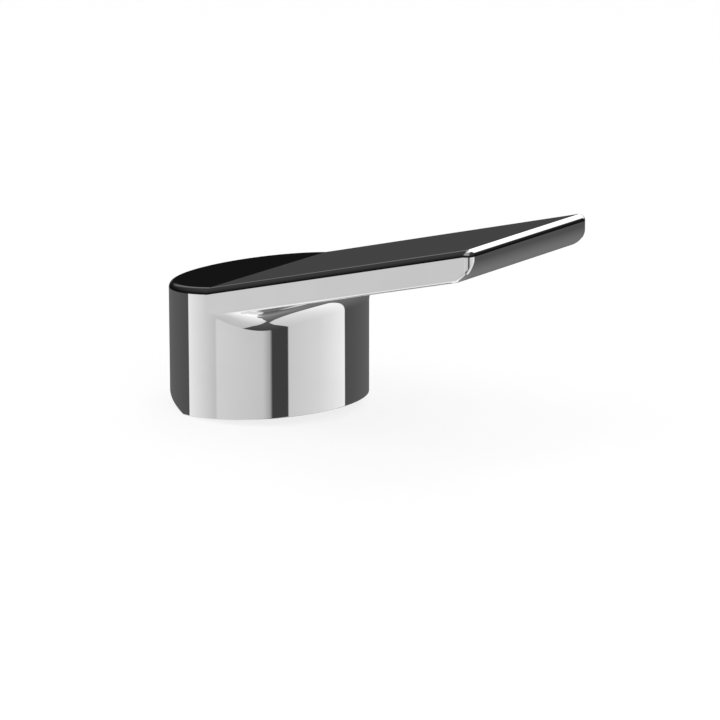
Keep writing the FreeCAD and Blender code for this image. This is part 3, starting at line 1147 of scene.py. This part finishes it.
@dataclass(frozen=True)
class DimFloor(Panel):
    """The unlit floor: darkest in front, paler straight down and towards the back."""

    front_level: float = 0.046
    back_start: Span = Span(60.0, 98.0)
    back_level: Span = Span(97.0, 175.0, 0.068, 0.12)
    back_lower_level: Span = Span(-36.0, -16.0, 0.033, 0.0)
    lower_level: Span = Span(-60.0, -15.0, 0.055, 0.0)
    foot_level: Span = Span(-90.0, -60.0, 0.15, 0.0)

    def light(self) -> Channel:
        """Light the floor.

        Returns:
            The light that comes from there.
        """
        aside, rise = self.aside(), self.rise
        back = self.back_start.past(aside)
        behind = self.back_level.along(aside) + self.back_lower_level.along(rise)
        low = self.lower_level.along(rise) + self.foot_level.along(rise)
        return (1.0 - back) * self.front_level + back * behind + low


@dataclass(frozen=True)
class UpperRoom(Panel):
    """The room above the level: dark at the horizon, with soft boxes high up."""

    wall: Span = Span(2.0, 38.0, 0.0055, 0.043)
    shelf_start: Span = Span(160.0, 168.0)
    shelf_top: Span = Span(-1.0, 2.0)
    shelf_level: float = 0.046
    glow_end: Span = Span(-172.0, -146.0)
    glow_foot: Span = Span(4.0, 14.0)
    glow_level: float = 0.17
    strip_start: Span = Span(114.5, 121.5)
    strip_end: Span = Span(176.0, 180.0)
    strip_foot: Span = Span(7.0, 16.0)
    strip_level: float = 1.2
    front_start: Span = Span(-82.0, -70.0)
    front_end: Span = Span(8.0, 28.0)
    front_foot: Span = Span(16.0, 30.0)
    front_level: float = 0.26
    zenith_foot: Span = Span(58.0, 76.0)
    zenith_level: float = 0.6

    def light(self) -> Channel:
        """Light the wall, a shelf behind the handle, and the brightest of four boxes.

        Returns:
            The light that comes from there.
        """
        turn, rise = self.turn, self.rise
        shelf = self.shelf_start.past(self.aside()) * self.shelf_top.before(rise) * self.shelf_level
        glow = self.glow_end.before(turn) * self.glow_foot.past(rise) * self.glow_level
        strip = self.strip_start.past(turn) * self.strip_end.before(turn)
        strip = strip * self.strip_foot.past(rise) * self.strip_level
        front = self.front_start.past(turn) * self.front_end.before(turn)
        front = front * self.front_foot.past(rise) * self.front_level
        zenith = self.zenith_foot.past(rise) * self.zenith_level
        return self.wall.along(rise) + shelf + glow.larger(strip).larger(front).larger(zenith)


@dataclass
class Surroundings:
    """The light and dark panels round the handle, which its plating mirrors.

    A direction is given by its bearing from the camera, positive to the right, and by its height
    above the level, both in degrees.
    """

    yaw: float
    plating: float = 0.87
    white: Colour = (1.0, 1.0, 1.0, 1.0)
    level_edge: Span = Span(-12.2, -11.4)

    def directions(self, graph: Graph) -> tuple[Channel, Channel]:
        """Work out a direction's angles.

        Args:
            graph: The world's graph.

        Returns:
            The bearing and the height, in degrees.
        """
        x, y, z = graph.add("ShaderNodeSeparateXYZ", None, {0: graph.add("ShaderNodeTexCoord")[0]})
        sine, cosine = math.sin(self.yaw), math.cos(self.yaw)
        right = x * cosine + y * sine
        front = x * sine - y * cosine
        return right.arc_tangent(front) * math.degrees(1.0), z.arc_sine() * math.degrees(1.0)

    def build(self) -> None:
        """Join the lower and upper panels into the world's light."""
        world = bpy.data.worlds.new("studio_panels")
        bpy.context.scene.world = world
        world.use_nodes = True
        graph = Graph(world.node_tree)
        way = self.directions(graph)
        lower = LeftTable(*way).light().larger(RightBox(*way).light()).larger(DimFloor(*way).light())
        above = self.level_edge.past(way[1])
        level = (above * UpperRoom(*way).light() + (1.0 - above) * lower) * (1.0 / self.plating)
        inputs = {"Color": self.white, "Strength": level}
        graph.output(graph.add("ShaderNodeBackground", None, inputs)[0], "ShaderNodeOutputWorld")


@dataclass(frozen=True)
class Lamp:
    """A round soft lamp that faces the origin and stays out of mirrored rays."""

    name: str
    place: Point
    size: float
    power: float

    def hang(self) -> None:
        """Hang the lamp at its place."""
        data = bpy.data.lights.new(self.name, "AREA")
        data.shape = "DISK"
        data.size = self.size
        data.energy = self.power
        thing = bpy.data.objects.new(self.name, data)
        thing.location = self.place
        x, y, z = self.place
        thing.rotation_euler = (math.acos(z / math.hypot(x, y, z)), 0.0, math.atan2(-y, -x) - QUARTER)
        thing.visible_glossy = False
        bpy.context.scene.collection.objects.link(thing)


KEY_LAMP = Lamp("key_lamp", (-0.6, -0.9, 1.6), 2.2, 18.0)
FILL_LAMP = Lamp("fill_lamp", (1.3, -0.5, 1.1), 2.0, 16.0)
BACK_LAMP = Lamp("back_lamp", (-0.2, 1.2, 1.8), 2.2, 14.0)


@dataclass
class Studio:
    """Camera, pale floor, soft lamps and the light and dark panels that the plating mirrors."""

    camera_place: Point = (0.530505, -0.684329, 0.226032)
    camera_pitch: float = math.radians(14.826)
    camera_yaw: float = math.radians(36.4016)
    lens: float = 194.06
    sensor: float = 36.0
    nearest: float = 0.05
    floor_level: float = -12.73
    floor_rings: Point = (0.0, 300.0, 1200.0)
    floor_flat: float = 2600.0
    floor_bend: float = 900.0
    floor_top: float = 2600.0

    BEND_CUTS = 17
    TURN_CUTS = 97
    HARD_EDGE = 30.0

    def camera(self) -> None:
        """Stand the camera where the photograph was taken from."""
        data = bpy.data.cameras.new("photo_camera")
        data.lens = self.lens
        data.sensor_width = self.sensor
        data.clip_start = self.nearest
        thing = bpy.data.objects.new("photo_camera", data)
        thing.location = self.camera_place
        thing.rotation_euler = (QUARTER - self.camera_pitch, 0.0, self.camera_yaw)
        bpy.context.scene.collection.objects.link(thing)
        bpy.context.scene.camera = thing

    def floor(self) -> None:
        """Lay the paper: a disc that turns up into a round wall, spun from one profile.

        The profile runs flat to a radius, along a quarter circle and straight up.
        """
        arc = np.linspace(0.0, QUARTER, self.BEND_CUTS)
        bend = self.floor_bend
        outer = [self.floor_flat + bend]
        radius = np.concatenate([self.floor_rings, self.floor_flat + bend * np.sin(arc), outer])[:, None]
        flat = np.zeros(len(self.floor_rings))
        height = np.concatenate([flat, bend - bend * np.cos(arc), [self.floor_top]])[:, None]
        turn = np.linspace(0.0, FULL_TURN, self.TURN_CUTS)
        skin = Skin()
        skin.add(columns(radius * np.cos(turn), radius * np.sin(turn), height + self.floor_level),
                 unit(columns(-np.cos(turn), -np.sin(turn), 1.0)))
        thing = skin.build("studio_floor", self.HARD_EDGE)
        thing.data.materials.append(FloorFinish().material())
        thing.visible_glossy = False

    def build(self) -> None:
        """Set up the camera, the floor, the lamps and the surroundings."""
        self.camera()
        self.floor()
        for lamp in (KEY_LAMP, FILL_LAMP, BACK_LAMP):
            lamp.hang()
        Surroundings(self.camera_yaw).build()


def carry(thing: bpy.types.Object, finishes: list[MetalFinish | PlasticFinish],
          node: str | None = None) -> None:
    """Dress a piece, let it ride on the handle and report it.

    Args:
        thing: The piece.
        finishes: Its finishes, in the order of its coats.
        node: The model's node that it stands for, if it does.
    """
    for finish in finishes:
        known = bpy.data.materials.get(finish.name)
        thing.data.materials.append(known or finish.material())
    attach(thing, "root")
    if node:
        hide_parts(node)
    log.info("%s: %d faces", thing.name, len(thing.data.polygons))


def main() -> None:
    """Build the studio and every piece of the handle, and report each."""
    logging.basicConfig(level=logging.INFO, format="%(name)s: %(message)s")
    bpy.context.scene.view_settings.view_transform = "Standard"
    Studio().build()
    for assembly in (HandleBody(), StemBoss(), GrubScrew(), CoverPlug()):
        assembly.dress()


if __name__ == "__main__":
    main()
